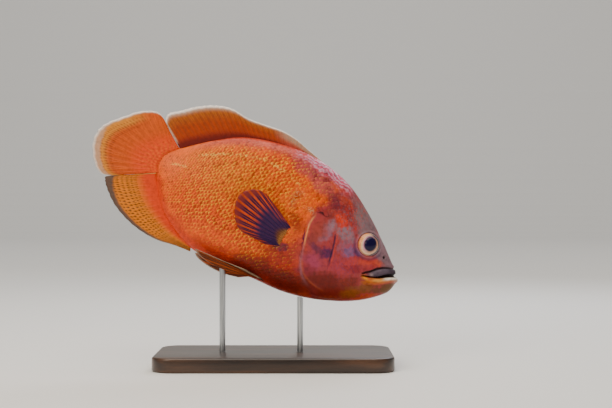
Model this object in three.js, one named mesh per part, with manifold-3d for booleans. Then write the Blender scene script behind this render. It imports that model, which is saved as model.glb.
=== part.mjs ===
// An oscar fish, life size, nose down as it swims, held over a flat base by two short rods.
// Millimetres, +Z up. The origin is the middle of the base's underside. The nose points to +X.
import * as THREE from "three";
import { mergeVertices } from "three/addons/utils/BufferGeometryUtils.js";
import Module from "manifold-3d";

const wasm = await Module();
wasm.setup();

// Driving sizes
const NOSE_DOWN = THREE.MathUtils.degToRad(28); // the body's axis below level
const TAIL_SWING = 11; // how far the tail's end bends to the fish's left
const SWING_FROM = 120; // the bend starts here along the body, and grows towards the tail
const SWING_LENGTH = 185;
const GAP = 0.3; // between pieces that meet
const FISH_X = -92; // where the root of the tail fin stands over the base
const FISH_Z = 173.5;

const BASE = { length: 200, width: 104, height: 12, corner: 16, bevel: 1.6 };
const ROD_RADIUS = 2.6;
const RODS = { stand_rod_front: 22, stand_rod_rear: -44 }; // each rod's x over the base

// Each eye's centre along the body, over the axis and out from the middle, and the half sizes of its globe
const EYE = { along: 184.2, high: 18.3, out: 13.8, radius: 10, depth: 4.9, turn: 0.24, tilt: 0.2 };
const PUPIL = { radius: 5.3, tall: 5.8, depth: 1.9, forward: 0.8, raised: 0.4, sunk: 0.9 };
const NOSTRIL = { along: 201.5, high: 15.5, long: 1.6, deep: 2, tall: 1.3 };

const BODY_STATIONS = 44; // cross sections from the tail to the nose
const BODY_SIDES = 32; // points round each section
const CROWDING = 1.25; // over 1 puts more of the sections at the face
const LAST_SHARE = 0.997; // the last section, just short of the jaw's tip
const FAR_OUT = 60; // past the fish's side, for cuts that run right through it

// The fish is drawn lying level: x runs along the body to the nose, y to its left, z to its back.
// The back and the belly as seen from the side, from the root of the tail fin to the tip of the jaw.
const v2 = (x, z) => new THREE.Vector2(x, z);
const BACK = new THREE.SplineCurve([
  v2(-7, 13), v2(8, 20.5), v2(27, 36), v2(48, 50), v2(75, 59), v2(104, 63.2), v2(128, 61.5),
  v2(150, 55.2), v2(172, 43.2), v2(193, 28.6), v2(208, 16.6), v2(216.2, 9.8), v2(221.5, 1.5),
]);
const BELLY = new THREE.SplineCurve([
  v2(-7, -14.5), v2(2, -24.5), v2(15, -37.6), v2(33, -49), v2(56, -56.2), v2(84, -55.6), v2(112, -53.6),
  v2(138, -51.8), v2(163, -45.8), v2(186, -36.2), v2(204, -25), v2(218.5, -10.5), v2(221.5, 1.5),
]);
// Half of the body's thickness at each of the points above
const HALF_WIDTH = new THREE.SplineCurve(
  [3.2, 5.6, 9, 13.2, 18, 21.6, 23.6, 23.8, 21.6, 17.4, 13.2, 8.6, 0].map((w, i) => v2(i, w)),
);
// How full a section is over its middle and under it: 1 is an ellipse, more is sharper, less is squarer.
// The back is sharper at the tail than at the nape.
const BACK_SHARPNESS = 1.12;
const BACK_SOFTENS = 0.2;
const BELLY_SHARPNESS = 0.86;

// A point of the body's surface. share runs from 0 at the tail to 1 at the nose, angle runs round from the
// left side over the back, and grow moves the surface outwards.
function bodyPoint(share, angle, grow = 0) {
  const back = BACK.getPoint(share);
  const belly = BELLY.getPoint(share);
  const middle = back.clone().add(belly).multiplyScalar(0.5);
  const up = back.clone().sub(belly).multiplyScalar(0.5);
  const half = HALF_WIDTH.getPoint(share).y;
  const c = Math.cos(angle);
  const s = Math.sin(angle);
  const sharpness = s > 0 ? BACK_SHARPNESS - BACK_SOFTENS * share : BELLY_SHARPNESS;
  const side = Math.sign(c) * Math.abs(c) ** sharpness * (half + grow);
  const raised = up.clone().setLength(Math.abs(s) * (up.length() + grow)).multiplyScalar(Math.sign(s));
  return new THREE.Vector3(middle.x + raised.x, side, middle.y + raised.y);
}

// The tail's bend to the left.
function swing(p) {
  const back = Math.max(0, (SWING_FROM - p.x) / SWING_LENGTH);
  return new THREE.Vector3(p.x, p.y + TAIL_SWING * back * back, p.z);
}

// A closed geometry as a solid that can be joined and cut, turned right side out.
function solid(geometry) {
  const bare = geometry.clone();
  for (const name of Object.keys(bare.attributes)) if (name !== "position") bare.deleteAttribute(name);
  const merged = mergeVertices(bare, 1e-4);
  const triVerts = Uint32Array.from(merged.index.array);
  const vertProperties = Float32Array.from(merged.attributes.position.array);
  const made = new wasm.Manifold(new wasm.Mesh({ numProp: 3, vertProperties, triVerts }));
  if (made.volume() > 0) return made;
  return new wasm.Manifold(new wasm.Mesh({ numProp: 3, vertProperties, triVerts: triVerts.reverse() }));
}

// A finished solid's largest piece, as a geometry.
function geometryOf(shape) {
  const largest = shape.decompose().sort((p, q) => q.volume() - p.volume())[0];
  const { vertProperties, triVerts } = largest.getMesh();
  const geometry = new THREE.BufferGeometry();
  geometry.setAttribute("position", new THREE.BufferAttribute(Float32Array.from(vertProperties), 3));
  geometry.setIndex(new THREE.BufferAttribute(Uint32Array.from(triVerts), 1));
  return geometry;
}

// A closed geometry from rings of points, with a middle point to close each end.
function closedSurface(rows) {
  const count = rows[0].length;
  const points = rows.flat();
  const index = [];
  for (let i = 0; i < rows.length - 1; i++) {
    for (let j = 0; j < count; j++) {
      const next = (j + 1) % count;
      const [a, b] = [i * count + j, i * count + next];
      const [c, d] = [b + count, a + count];
      index.push(a, b, c, a, c, d);
    }
  }
  const ends = [[rows[0], 0], [rows[rows.length - 1], (rows.length - 1) * count]];
  ends.forEach(([row, start], which) => {
    const centre = row.reduce((sum, p) => sum.add(p), new THREE.Vector3()).divideScalar(count);
    const apex = points.push(centre) - 1;
    for (let j = 0; j < count; j++) {
      const pair = [start + j, start + ((j + 1) % count)];
      if (which === 0) pair.reverse();
      index.push(pair[0], pair[1], apex);
    }
  });
  const geometry = new THREE.BufferGeometry().setFromPoints(points);
  geometry.setIndex(index);
  return geometry;
}

// The whole body, grown outwards or shrunk inwards. Stations are closer together at the face.
function bodySolid(grow = 0) {
  const rows = [];
  for (let i = 0; i <= BODY_STATIONS; i++) {
    const even = i / BODY_STATIONS;
    const share = Math.min(LAST_SHARE, 1 - (1 - even) ** CROWDING);
    const row = [];
    for (let j = 0; j < BODY_SIDES; j++) {
      const angle = (-j / BODY_SIDES) * 2 * Math.PI;
      row.push(swing(bodyPoint(share, angle, grow)));
    }
    rows.push(row);
  }
  return solid(closedSurface(rows));
}

// A side view outline, through the whole thickness of the fish or on one side of it only.
function prism(points, from = -FAR_OUT, to = FAR_OUT) {
  const options = { depth: to - from, bevelEnabled: false };
  const geometry = new THREE.ExtrudeGeometry(new THREE.Shape(points), options);
  geometry.rotateX(Math.PI / 2);
  geometry.translate(0, to, 0);
  return solid(geometry);
}

function moved(points, dx, dz) {
  return points.map((p) => v2(p.x + dx, p.y + dz));
}

const smoothLine = (points, steps = 14) => new THREE.SplineCurve(points).getPoints(steps);

// A fin: a thin closed sheet from a root line to a free edge, with a ridge along each ray.
// root and edge give a 3-D point for a share of the fin's length, and across is the way its thickness goes.
const RIDGE_FADES = 0.75; // the share of a ridge's height that is gone at the free edge
function fin({ root, edge, across, rays, rows, rootThick, edgeThick, ridge }) {
  const columns = rays * 2;
  const faces = [[], []];
  for (let i = 0; i <= columns; i++) {
    const along = i / columns;
    const start = root(along);
    const end = edge(along);
    const onRay = i % 2 === 1;
    for (let j = 0; j <= rows; j++) {
      const out = j / rows;
      const middle = start.clone().lerp(end, out);
      const plain = THREE.MathUtils.lerp(rootThick, edgeThick, Math.sqrt(out));
      const rib = onRay ? ridge * (1 - RIDGE_FADES * out) : 0;
      const half = (plain + rib) / 2;
      faces[0].push(swing(middle.clone().addScaledVector(across, half)));
      faces[1].push(swing(middle.clone().addScaledVector(across, -half)));
    }
  }
  const perColumn = rows + 1;
  const size = faces[0].length;
  const at = (side, i, j) => side * size + i * perColumn + j;
  const index = [];
  const quad = (a, b, c, d) => index.push(a, b, c, a, c, d);
  for (let i = 0; i < columns; i++) {
    for (let j = 0; j < rows; j++) {
      quad(at(0, i, j), at(0, i + 1, j), at(0, i + 1, j + 1), at(0, i, j + 1));
      index.push(at(1, i, j), at(1, i + 1, j + 1), at(1, i + 1, j));
      index.push(at(1, i, j), at(1, i, j + 1), at(1, i + 1, j + 1));
    }
    quad(at(1, i, 0), at(1, i + 1, 0), at(0, i + 1, 0), at(0, i, 0));
    quad(at(0, i, rows), at(0, i + 1, rows), at(1, i + 1, rows), at(1, i, rows));
  }
  for (let j = 0; j < rows; j++) {
    quad(at(1, 0, j), at(0, 0, j), at(0, 0, j + 1), at(1, 0, j + 1));
    quad(at(0, columns, j), at(1, columns, j), at(1, columns, j + 1), at(0, columns, j + 1));
  }
  const geometry = new THREE.BufferGeometry().setFromPoints([...faces[0], ...faces[1]]);
  geometry.setIndex(index);
  return solid(geometry);
}

// A fin in the fish's middle plane, between two side view curves.
function middleFin(rootPoints, edgePoints, options) {
  const rootCurve = new THREE.SplineCurve(rootPoints);
  const edgeCurve = new THREE.SplineCurve(edgePoints);
  const flat = (curve) => (u) => {
    const p = curve.getPoint(u);
    return new THREE.Vector3(p.x, 0, p.y);
  };
  return fin({
    root: flat(rootCurve),
    edge: flat(edgeCurve),
    across: new THREE.Vector3(0, 1, 0),
    ...options,
  });
}

// Materials, one for each finish
const finish = (color, roughness = 0.5, metalness = 0) =>
  new THREE.MeshStandardMaterial({ color, roughness, metalness, flatShading: true });
const flank = finish(0xe8560c, 0.45);
const face = finish(0x8f6f6e, 0.5);
const cheek = finish(0xa83a3c, 0.45);
const jaw = finish(0xb06a2a, 0.5);
const lip = finish(0x6a5f74, 0.55);
const finOrange = finish(0xe0690f, 0.55);
const finDark = finish(0x47233d, 0.55);
const pelvic = finish(0x6b3218, 0.55);
const iris = finish(0xe9b46a, 0.25);
const pupil = finish(0x120c2a, 0.08);
const baseWood = finish(0x2b2320, 0.4);
const steel = finish(0xb8bcc0, 0.25, 1);

const root = new THREE.Group();
const fish = new THREE.Group();
fish.rotation.y = NOSE_DOWN;
fish.position.set(FISH_X, 0, FISH_Z);
root.add(fish);

function addTo(group, name, shape, material) {
  const mesh = new THREE.Mesh(geometryOf(shape), material);
  mesh.name = name;
  group.add(mesh);
}

// The body and its cuts
const body = bodySolid();
const clearOfBody = bodySolid(GAP);

// The rear edge of the gill covers, from the nape round to the throat, goes on to the back and the belly.
const GILL_EDGE = [
  v2(133, 21), v2(130.5, 12), v2(132, 3), v2(134.5, -6), v2(136.5, -15), v2(140, -24), v2(147, -31.5),
  v2(157, -37.5),
];
const HEAD_SEAM = [v2(158, 90), v2(151, 48), v2(141, 28), ...GILL_EDGE, v2(166, -43), v2(174, -70)];
const seam = smoothLine(HEAD_SEAM, 40);
const aheadOf = (shift) => prism([...moved(seam, shift, 0), v2(260, -70), v2(260, 90)]);
const behindOf = (shift) => prism([...moved(seam, shift, 0).reverse(), v2(-60, 90), v2(-60, -70)]);

// The bony part of each gill cover: a plate that stands a little proud of the head, in a shallow pocket.
const PLATE = { proud: 1.1, deep: 3, fromMiddle: 4 };
const PLATE_FRONT = [v2(164.5, -37), v2(161.5, -16), v2(158.5, -2), v2(155.8, 12), v2(151, 21)];
const PLATE_MIDDLE = v2(147, -8);
// The plate's outline from the side, spread out from its middle by a clearance.
function plateOutline(clear) {
  const outline = [...moved(smoothLine(GILL_EDGE, 16), GAP / 2, 0), ...smoothLine(PLATE_FRONT, 12)];
  return outline.map((p) => {
    const outwards = p.clone().sub(PLATE_MIDDLE).normalize();
    return p.clone().addScaledVector(outwards, 2 * clear);
  });
}
const shallow = bodySolid(-PLATE.deep);
const shallower = bodySolid(-PLATE.deep - GAP);
const proud = bodySolid(PLATE.proud);
const wholeHead = body.intersect(aheadOf(GAP / 2));
const plates = proud.intersect(prism(plateOutline(0))).subtract(shallow);
const pocket = prism(plateOutline(GAP)).subtract(shallower);
const sideView = [v2(-100, -100), v2(300, -100), v2(300, 120), v2(-100, 120)];
const leftHalf = prism(sideView, PLATE.fromMiddle, FAR_OUT);
const rightHalf = prism(sideView, -FAR_OUT, -PLATE.fromMiddle);

// Eyes: a flattened globe with a dark lens in front, turned a little forward and up, as the skin there faces.
function inSocket(geometry, side) {
  geometry.rotateX(side * EYE.tilt);
  geometry.rotateZ(-side * EYE.turn);
  geometry.translate(EYE.along, side * EYE.out, EYE.high);
  return solid(geometry);
}
function globe(side, grow = 0) {
  const g = new THREE.SphereGeometry(1, 18, 10);
  g.scale(EYE.radius + grow, EYE.depth + grow, EYE.radius + grow);
  return inSocket(g, side);
}
function lens(side, grow = 0) {
  const g = new THREE.SphereGeometry(1, 12, 8);
  g.scale(PUPIL.radius + grow, PUPIL.depth + grow, PUPIL.tall + grow);
  g.translate(PUPIL.forward, side * (EYE.depth - PUPIL.sunk), PUPIL.raised);
  return inSocket(g, side);
}

// The mouth, a little open: the snout overhangs a grey upper lip, and a gap parts that from the lower jaw.
const LIP_CREASE = [v2(190.5, -6.2), v2(199.5, 2.2), v2(206, 8), v2(211.5, 11.2), v2(224, 14.5)];
const MOUTH_TOP = [v2(192, -7.4), v2(200.5, -4.4), v2(206, -0.6), v2(211, 3.4), v2(216, 5.8), v2(226, 7)];
const MOUTH_LOW = [v2(192.6, -8.2), v2(201, -6.6), v2(207, -2.9), v2(212, 0.8), v2(217, 2.9), v2(226, 3)];
const JAW_REAR = [v2(192.6, -8.2), v2(191.5, -16), v2(186, -27), v2(176, -52)];
const lipOutline = [...smoothLine(LIP_CREASE), ...smoothLine(MOUTH_TOP).reverse()];
const jawOutline = [...smoothLine(MOUTH_LOW), v2(240, -10), v2(230, -60), ...smoothLine(JAW_REAR).reverse()];
const mouthGap = [...smoothLine(MOUTH_TOP), ...smoothLine(MOUTH_LOW).reverse()];

const lipPrism = prism(lipOutline);
const jawPrism = prism(jawOutline);
const gapPrism = prism(mouthGap);
// The same outline with the gap between pieces added all round it.
function roomFor(outline) {
  return [[GAP, 0], [-GAP, 0], [0, GAP], [0, -GAP]]
    .map(([dx, dz]) => prism(moved(outline, dx, dz)))
    .reduce((sum, next) => sum.add(next));
}

// The body's half thickness at a side view point, found by walking over the front of its surface.
function sideWidth(x, z) {
  let best = { far: Infinity, y: 0 };
  for (let share = 0.6; share < LAST_SHARE; share += 0.004) {
    for (let angle = -Math.PI / 2; angle <= Math.PI / 2; angle += 0.06) {
      const p = bodyPoint(share, angle);
      const far = (p.x - x) ** 2 + (p.z - z) ** 2;
      if (far < best.far) best = { far, y: p.y };
    }
  }
  return best.y;
}

// The lower lip: a roll along the mouth's lower edge, from one corner round the front to the other.
const LIP = { radius: 2.3, inset: 0.9, drop: 2.2, reach: 0.86, pointsEachSide: 10, steps: 16, leastOut: 1.2 };
function lipRoll(line) {
  const curve = new THREE.SplineCurve(line);
  const sidePoints = (side) => Array.from({ length: LIP.pointsEachSide }, (_, i) => {
    const p = curve.getPoint((i / (LIP.pointsEachSide - 1)) * LIP.reach);
    const out = Math.max(LIP.leastOut, sideWidth(p.x, p.y - LIP.drop) - LIP.inset);
    return new THREE.Vector3(p.x, side * out, p.y - LIP.drop);
  });
  const path = new THREE.CatmullRomCurve3([...sidePoints(-1), ...sidePoints(1).reverse()]);
  const shape = new THREE.Shape();
  shape.absarc(0, 0, LIP.radius, 0, 2 * Math.PI, true);
  const options = { steps: LIP.steps, extrudePath: path, curveSegments: 6, bevelEnabled: false };
  return solid(new THREE.ExtrudeGeometry(shape, options));
}

let head = wholeHead.subtract(pocket).subtract(gapPrism);
head = head.subtract(roomFor(jawOutline)).subtract(roomFor(lipOutline));
for (const side of [-1, 1]) {
  const pit = new THREE.SphereGeometry(1, 10, 8);
  pit.scale(NOSTRIL.long, NOSTRIL.deep, NOSTRIL.tall);
  pit.translate(NOSTRIL.along, side * sideWidth(NOSTRIL.along, NOSTRIL.high), NOSTRIL.high);
  head = head.subtract(globe(side, GAP)).subtract(solid(pit));
}

const UPPER_LIP_SUNK = 0.9; // the upper lip lies this far in under the snout's edge
const upperLip = bodySolid(-UPPER_LIP_SUNK).intersect(lipPrism);
const jawBody = body.intersect(jawPrism);
const lowerLip = lipRoll(MOUTH_LOW).intersect(jawPrism);

addTo(fish, "head", head, face);
addTo(fish, "gill_cover_left", plates.intersect(leftHalf), cheek);
addTo(fish, "gill_cover_right", plates.intersect(rightHalf), cheek);
addTo(fish, "upper_lip", upperLip, lip);
addTo(fish, "lower_jaw", jawBody.add(lowerLip).subtract(gapPrism), jaw);
for (const [name, side] of [["right", -1], ["left", 1]]) {
  addTo(fish, "eye_" + name, globe(side).subtract(lens(side, GAP)), iris);
  addTo(fish, "pupil_" + name, lens(side), pupil);
}

// The trunk behind the gills, and the short stem that carries the tail fin
const STEM_AT = 16;
const slab = (from, to) => prism([v2(from, -90), v2(to, -90), v2(to, 90), v2(from, 90)]);
const behind = body.intersect(behindOf(-GAP / 2));
addTo(fish, "torso", behind.intersect(slab(STEM_AT + GAP / 2, 200)), flank);
addTo(fish, "tail_stem", behind.intersect(slab(-40, STEM_AT - GAP / 2)), flank);

// Fins in the middle plane. Each root line lies inside the body, and each edge is the fin's free outline.
const DORSAL_ROOT = [v2(116, 59), v2(86, 58), v2(57, 50), v2(30, 34), v2(6, 15)];
const DORSAL_EDGE = [
  v2(118, 62.5), v2(103, 65.6), v2(88, 69.1), v2(74, 69.6), v2(60, 67.4), v2(44, 65.3), v2(28, 66.2),
  v2(14, 62), v2(1, 54), v2(-10, 44.2), v2(-18.4, 36.8), v2(-17.2, 29.6),
];
const DORSAL = { rays: 30, rows: 4, rootThick: 4.2, edgeThick: 0.7, ridge: 0.8 };

const ANAL_ROOT = [v2(52, -53), v2(34, -45), v2(16, -33), v2(3, -20), v2(-3.5, -12)];
const ANAL_EDGE = [
  v2(54, -58), v2(40, -59.6), v2(24, -62.6), v2(8, -62.4), v2(-8, -59.1), v2(-23, -52.9), v2(-34.3, -44.6),
  v2(-39.6, -38.4), v2(-39, -34.3), v2(-25, -27),
];
const ANAL = { rays: 19, rows: 5, rootThick: 4, edgeThick: 0.7, ridge: 0.8 };

const CAUDAL_ROOT = [v2(2, 9), v2(-3, 4), v2(-3, -6), v2(1, -12)];
const CAUDAL_EDGE = [
  v2(-15.4, 24.8), v2(-19.6, 31.1), v2(-25.6, 33.8), v2(-32.5, 32.4), v2(-42, 26.6), v2(-52.5, 15.6),
  v2(-61.5, 5.4), v2(-65.6, -3.5), v2(-65.2, -14), v2(-58.6, -26), v2(-48.4, -33.6), v2(-38.4, -32.4),
  v2(-24, -24.2),
];
const CAUDAL = { rays: 18, rows: 7, rootThick: 6, edgeThick: 0.7, ridge: 1 };

// The tail fin is cut back to clear its two neighbours, which are made thicker for the cut.
const CLEAR = { rootThick: 5.4, edgeThick: 2, ridge: 1 };
const dorsal = middleFin(DORSAL_ROOT, DORSAL_EDGE, DORSAL);
const anal = middleFin(ANAL_ROOT, ANAL_EDGE, ANAL);
const clearOfDorsal = middleFin(DORSAL_ROOT, DORSAL_EDGE, { ...DORSAL, ...CLEAR });
const clearOfAnal = middleFin(ANAL_ROOT, ANAL_EDGE, { ...ANAL, ...CLEAR });
const caudal = middleFin(CAUDAL_ROOT, CAUDAL_EDGE, CAUDAL).subtract(clearOfDorsal).subtract(clearOfAnal);
addTo(fish, "dorsal_fin", dorsal.subtract(clearOfBody), finOrange);
addTo(fish, "anal_fin", anal.subtract(clearOfBody), finOrange);
addTo(fish, "caudal_fin", caudal.subtract(clearOfBody), finOrange);

// Pectoral fins: fans that stand out from the side behind the gill covers
const PECTORAL = { rays: 14, rows: 5, rootThick: 4, edgeThick: 0.6, ridge: 0.9 };
const PECTORAL_ROOT = new THREE.LineCurve3(new THREE.Vector3(126, 0, -2.5), new THREE.Vector3(121, 0, -16));
const PECTORAL_EDGE = new THREE.SplineCurve([
  v2(106, 8.4), v2(95.5, 13.4), v2(87, 16.4), v2(79, 15), v2(72, 9), v2(70, 1), v2(72.4, -8), v2(77.6, -16),
  v2(84.5, -20.6), v2(95, -21.2), v2(108, -21.4),
]);
const PECTORAL_OUT = { root: 19.5, edge: 22.5, spread: 0.32 }; // spread is how fast it leaves the side
function pectoralFin(side) {
  return fin({
    root: (u) => PECTORAL_ROOT.getPoint(u).setY(side * PECTORAL_OUT.root),
    edge: (u) => {
      const p = PECTORAL_EDGE.getPoint(u);
      const back = PECTORAL_ROOT.getPoint(u).x - p.x;
      return new THREE.Vector3(p.x, side * (PECTORAL_OUT.edge + PECTORAL_OUT.spread * back), p.y);
    },
    across: new THREE.Vector3(PECTORAL_OUT.spread, side, 0).normalize(),
    ...PECTORAL,
  });
}

// Pelvic fins: long narrow fins folded back under the belly, the one on the left a little lower
const PELVIC = { rays: 6, rows: 6, rootThick: 4.4, edgeThick: 0.7, ridge: 0.9 };
const PELVIC_ROOT = new THREE.LineCurve3(new THREE.Vector3(124, 0, -49), new THREE.Vector3(114, 0, -50));
const PELVIC_EDGE = new THREE.SplineCurve([
  v2(104, -51), v2(84, -53.5), v2(61, -55.5), v2(57, -56.4), v2(66, -60), v2(84, -60.5), v2(100, -57),
]);
const PELVIC_OUT = { root: 6.2, rootGains: 4.2, edge: 17.4, edgeLoses: 6.4 };
function pelvicFin(side, raised) {
  return fin({
    root: (u) => PELVIC_ROOT.getPoint(u).setY(side * (PELVIC_OUT.root + PELVIC_OUT.rootGains * u)),
    edge: (u) => {
      const p = PELVIC_EDGE.getPoint(u);
      return new THREE.Vector3(p.x, side * (PELVIC_OUT.edge - PELVIC_OUT.edgeLoses * u), p.y + raised);
    },
    across: new THREE.Vector3(0, side * 0.73, -0.68).normalize(),
    ...PELVIC,
  });
}

for (const [name, side, raised] of [["right", -1, 3], ["left", 1, -2]]) {
  addTo(fish, "pectoral_fin_" + name, pectoralFin(side).subtract(clearOfBody), finDark);
  addTo(fish, "pelvic_fin_" + name, pelvicFin(side, raised).subtract(clearOfBody), pelvic);
}

// The stand's base: a flat block with rounded corners and a narrow bevel, centred on the origin
function baseBlock() {
  const { length, width, corner, height, bevel } = BASE;
  const [x, y] = [length / 2 - bevel - corner, width / 2 - bevel - corner];
  const shape = new THREE.Shape();
  shape.absarc(x, -y, corner, -Math.PI / 2, 0, false);
  shape.absarc(x, y, corner, 0, Math.PI / 2, false);
  shape.absarc(-x, y, corner, Math.PI / 2, Math.PI, false);
  shape.absarc(-x, -y, corner, Math.PI, Math.PI * 1.5, false);
  const block = new THREE.ExtrudeGeometry(shape, {
    depth: height - 2 * bevel,
    bevelThickness: bevel,
    bevelSize: bevel,
    bevelSegments: 1,
    curveSegments: 5,
  });
  block.translate(0, 0, bevel);
  return solid(block);
}
addTo(root, "stand_base", baseBlock(), baseWood);

// The rods rise from just over the base to the belly, and each is cut to follow the belly's slope.
fish.updateMatrix();
const bellyOverBase = clearOfBody.transform(fish.matrix.elements);
const bottomOf = (shape) => shape.boundingBox().min[2];
const lowestOf = (shape) => shape.decompose().sort((p, q) => bottomOf(p) - bottomOf(q))[0];
for (const [name, x] of Object.entries(RODS)) {
  const rod = new THREE.CylinderGeometry(ROD_RADIUS, ROD_RADIUS, FISH_Z, 16);
  rod.rotateX(Math.PI / 2);
  rod.translate(x, 0, BASE.height + GAP + FISH_Z / 2);
  addTo(root, name, lowestOf(solid(rod).subtract(bellyOverBase)), steel);
}

export default root;
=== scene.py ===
# %% [markdown]
# # An oscar fish for a museum shelf
# The fish is a deep, flat-sided cichlid that swims nose down. The solids give its size and its outline.
# Here it gets one smooth skin, overlapping scales, rayed fins and wet eyes. Everything is in metres. The
# floor is at height 0, the nose points to +X, and the camera looks along +Y.

# %% The frame
import math

import bmesh
import bpy
import numpy as np
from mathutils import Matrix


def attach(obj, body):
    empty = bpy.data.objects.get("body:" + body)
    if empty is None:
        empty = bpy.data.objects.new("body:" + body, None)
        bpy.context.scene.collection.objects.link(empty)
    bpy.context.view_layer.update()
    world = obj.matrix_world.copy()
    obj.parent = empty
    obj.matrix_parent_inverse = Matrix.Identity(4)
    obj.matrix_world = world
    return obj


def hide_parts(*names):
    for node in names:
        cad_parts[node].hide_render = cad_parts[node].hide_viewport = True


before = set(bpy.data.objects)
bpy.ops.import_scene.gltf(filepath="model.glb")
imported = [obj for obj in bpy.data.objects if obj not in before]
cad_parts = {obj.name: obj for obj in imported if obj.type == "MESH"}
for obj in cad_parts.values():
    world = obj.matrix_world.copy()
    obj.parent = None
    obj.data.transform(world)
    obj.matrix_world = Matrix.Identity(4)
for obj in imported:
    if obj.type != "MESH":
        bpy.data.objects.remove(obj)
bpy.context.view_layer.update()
MM = 0.001
print("nodes in the frame:", len(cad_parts))

# %% [markdown]
# ## Camera and light
# The camera stands square on to the fish's right side, a little over a metre away, and its long lens keeps
# the fins in proportion. Two large, warm lights, one overhead and one at the front left, give the soft
# light of the photograph. A cool one behind draws the edges of the fins, and a fourth lights the backdrop.

# %% The camera
CAMERA_PLACE = (0.0270, -1.10, 0.1375)
CAMERA_LENS = 76.1
camera_data = bpy.data.cameras.new("camera")
camera_data.lens = CAMERA_LENS
camera_data.sensor_width = 36
camera_data.clip_start = 0.01
camera = bpy.data.objects.new("camera", camera_data)
camera.location = CAMERA_PLACE
camera.rotation_euler = (math.pi / 2, 0, 0)
bpy.context.scene.collection.objects.link(camera)
bpy.context.scene.camera = camera
print("camera at", CAMERA_PLACE)


# %% The lights
def add_light(name, place, aim, size, power, colour):
    """A soft square light at place, turned towards aim."""
    data = bpy.data.lights.new(name, "AREA")
    data.size = size
    data.energy = power
    data.color = colour
    light = bpy.data.objects.new(name, data)
    light.location = place
    direction = np.subtract(aim, place)
    level = math.hypot(direction[0], direction[1])
    light.rotation_euler = (
        math.atan2(level, -direction[2]), 0, math.atan2(direction[1], direction[0]) - math.pi / 2)
    bpy.context.scene.collection.objects.link(light)


FISH_MIDDLE = (0, 0, 0.14)
add_light("top_light", (-0.15, -0.35, 1.25), FISH_MIDDLE, 0.9, 10.5, (1, 0.91, 0.77))
add_light("key_light", (-0.75, -1.0, 0.75), FISH_MIDDLE, 0.6, 6.5, (1, 0.88, 0.70))
add_light("back_light", (0.3, 0.8, 0.8), FISH_MIDDLE, 0.5, 4, (0.86, 0.9, 1))
add_light("backdrop_light", (0, 1.2, 5), (0, 5.5, 0.5), 4, 170, (1, 0.98, 0.95))

WORLD_COLOUR = (0.94, 0.90, 0.84, 1)
WORLD_STRENGTH = 0.3
world = bpy.data.worlds.new("studio")
world.use_nodes = True
world.node_tree.nodes["Background"].inputs["Color"].default_value = WORLD_COLOUR
world.node_tree.nodes["Background"].inputs["Strength"].default_value = WORLD_STRENGTH
bpy.context.scene.world = world
print("lights and world set")


# %% [markdown]
# ## Colours and finishes
# A fish's colour lies in patches with soft edges. An image could hold them, but a small function can be
# read and changed. It works out the colour for every corner of a mesh, which keeps it in a colour
# attribute, and the same function paints the skin and the scales. Fine mottling, gloss and bump come from
# nodes, which don't need a dense mesh.

# %% Colours written as a painter would mix them
def tint(code):
    """A colour from a six-digit code, as light values from 0 to 1."""
    parts = np.array([int(code[i:i + 2], 16) / 255 for i in (0, 2, 4)])
    return np.where(parts <= 0.04045, parts / 12.92, ((parts + 0.055) / 1.055) ** 2.4)


def smooth(low, high, value):
    """0 below low, 1 above high, and a soft step between them."""
    share = np.clip((value - low) / (high - low), 0, 1)
    return share * share * (3 - 2 * share)


def plain(code, like):
    """One colour for every point of an array."""
    return np.broadcast_to(tint(code), (*like.shape, 3))


def layered(colour, *layers):
    """Colour with layers laid over it in turn, each a colour code and an amount from 0 to 1 at each point."""
    for code, amount in layers:
        amount = np.asarray(amount)[..., None]
        colour = colour * (1 - amount) + tint(code) * amount
    return colour


def window(value, start, full, leave, end):
    """0, then up to 1 from start to full, and back to 0 from leave to end."""
    return smooth(start, full, value) * (1 - smooth(leave, end, value))


def ridge(distance, width):
    """1 on a line, falling to 0 at about twice the width."""
    return np.exp(-(distance / width) ** 2)


def spot(a, h, along, high, long, tall):
    """1 at one place on the side of the fish, falling to 0 at about twice its half sizes."""
    return np.exp(-((a - along) / long) ** 2 - ((h - high) / tall) ** 2)


print("orange as light values:", tint("ff6000").round(3))


# %% A finish made of nodes
COAT_ROUGHNESS = 0.12


def new_finish(name, roughness, coat=0.0, specular=0.5, metallic=0.0):
    """An empty Principled finish. Returns its material, node tree and shader."""
    material = bpy.data.materials.new(name)
    material.use_nodes = True
    shader = material.node_tree.nodes["Principled BSDF"]
    shader.inputs["Roughness"].default_value = roughness
    shader.inputs["Coat Weight"].default_value = coat
    shader.inputs["Coat Roughness"].default_value = COAT_ROUGHNESS
    shader.inputs["Specular IOR Level"].default_value = specular
    shader.inputs["Metallic"].default_value = metallic
    return material, material.node_tree, shader


def add_noise(tree, scale, detail=3.0, stretch=(1, 1, 1)):
    """Noise on the object's own coordinates, at so many bumps to the metre."""
    place = tree.nodes.new("ShaderNodeTexCoord")
    mapping = tree.nodes.new("ShaderNodeMapping")
    mapping.inputs["Scale"].default_value = stretch
    noise = tree.nodes.new("ShaderNodeTexNoise")
    noise.inputs["Scale"].default_value = scale
    noise.inputs["Detail"].default_value = detail
    tree.links.new(place.outputs["Object"], mapping.inputs["Vector"])
    tree.links.new(mapping.outputs["Vector"], noise.inputs["Vector"])
    return noise.outputs["Fac"]


def add_ramp(tree, value, stops):
    """A colour ramp with (position, colour code) stops."""
    ramp = tree.nodes.new("ShaderNodeValToRGB")
    elements = ramp.color_ramp.elements
    while len(elements) < len(stops):
        elements.new(0.5)
    for element, (position, code) in zip(elements, stops):
        element.position = position
        element.color = (*tint(code), 1)
    tree.links.new(value, ramp.inputs["Fac"])
    return ramp.outputs["Color"]


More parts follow.
